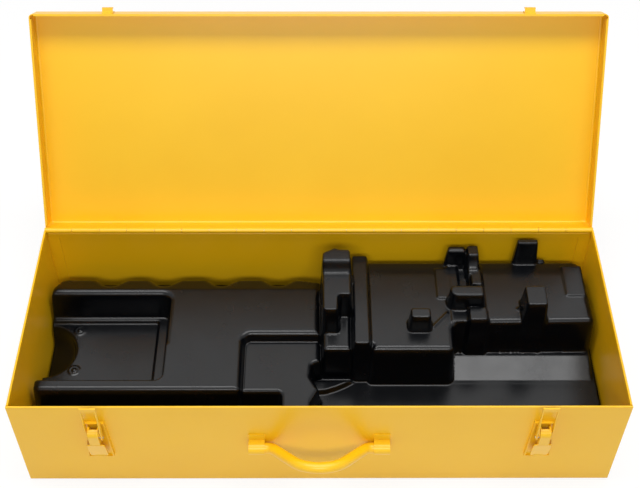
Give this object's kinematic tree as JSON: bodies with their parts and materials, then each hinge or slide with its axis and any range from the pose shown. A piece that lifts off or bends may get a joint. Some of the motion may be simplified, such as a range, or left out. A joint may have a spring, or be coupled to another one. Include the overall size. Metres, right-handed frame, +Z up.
{
  "type": "sheet steel tool case",
  "caption": "Long painted sheet-steel tool case with a hinged tray lid, draw latches, a folding bow handle and a black vacuum-formed insert shaped for a power tool.",
  "frame": {"origin": "middle of the case's underside, on the surface it stands on", "axes": "+X to the right along the long side, +Y from the handle side to the hinge side, +Z up"},
  "size_m": [0.6, 0.4183, 0.3337],
  "materials": {
    "yellow_paint": "satin powder coat",
    "black_plastic": "fine matt grain",
    "steel": "plain"
  },
  "bodies": {
    "case": {"body_wrap": "yellow_paint", "end_panel_left": "yellow_paint", "end_panel_right": "yellow_paint", "insert_tray": "black_plastic", "hinge_body_leaf": "yellow_paint", "hinge_pin": "steel", "lid_stop_left": "yellow_paint", "lid_stop_right": "yellow_paint", "latch_base_left": "yellow_paint", "latch_base_right": "yellow_paint", "latch_pivot_left": "steel", "latch_pivot_right": "steel", "latch_rivets": "yellow_paint", "handle_clip_left": "yellow_paint", "handle_clip_right": "yellow_paint"},
    "lid": {"lid_shell": "yellow_paint", "hinge_lid_leaf": "yellow_paint", "keeper_left": "yellow_paint", "keeper_right": "yellow_paint"},
    "handle": {"handle_bow": "yellow_paint"},
    "lever_left": {"latch_lever_left": "yellow_paint"},
    "lever_right": {"latch_lever_right": "yellow_paint"},
    "loop_pin_left": {"hook_pin_left": "steel"},
    "loop_pin_right": {"hook_pin_right": "steel"},
    "loop_left": {"hook_loop_left": "yellow_paint"},
    "loop_right": {"hook_loop_right": "yellow_paint"}
  },
  "joints": [
    {"name": "lid_hinge", "type": "hinge", "parent": "case", "child": "lid", "pos_m": [0, 0.1162, 0.1296], "axis": [-1, 0, 0], "range_deg": [-119.5, 0]},
    {"name": "handle_swing", "type": "hinge", "parent": "case", "child": "handle", "pos_m": [0, -0.1233, 0.071], "axis": [-1, 0, 0], "range_deg": [-120, 58]},
    {"name": "lever_left_swing", "type": "hinge", "parent": "case", "child": "lever_left", "pos_m": [-0.219, -0.125, 0.101], "axis": [-1, 0, 0], "range_deg": [0, 100]},
    {"name": "lever_right_swing", "type": "hinge", "parent": "case", "child": "lever_right", "pos_m": [0.219, -0.125, 0.101], "axis": [-1, 0, 0], "range_deg": [0, 100]},
    {"name": "loop_pin_left_turn", "type": "hinge", "parent": "lever_left", "child": "loop_pin_left", "pos_m": [-0.219, -0.125, 0.093], "axis": [-1, 0, 0], "range_deg": [-100, 0]},
    {"name": "loop_pin_right_turn", "type": "hinge", "parent": "lever_right", "child": "loop_pin_right", "pos_m": [0.219, -0.125, 0.093], "axis": [-1, 0, 0], "range_deg": [-100, 0]},
    {"name": "loop_left_swing", "type": "hinge", "parent": "loop_pin_left", "child": "loop_left", "pos_m": [-0.219, -0.125, 0.093], "axis": [1, 0, 0], "range_deg": [-7.7, 14.2]},
    {"name": "loop_right_swing", "type": "hinge", "parent": "loop_pin_right", "child": "loop_right", "pos_m": [0.219, -0.125, 0.093], "axis": [1, 0, 0], "range_deg": [-7.7, 14.2]}
  ],
  "couplings": [
    {"joint": "loop_pin_left_turn", "follows": "lever_left_swing", "ratio": -1},
    {"joint": "loop_pin_right_turn", "follows": "lever_right_swing", "ratio": -1}
  ]
}
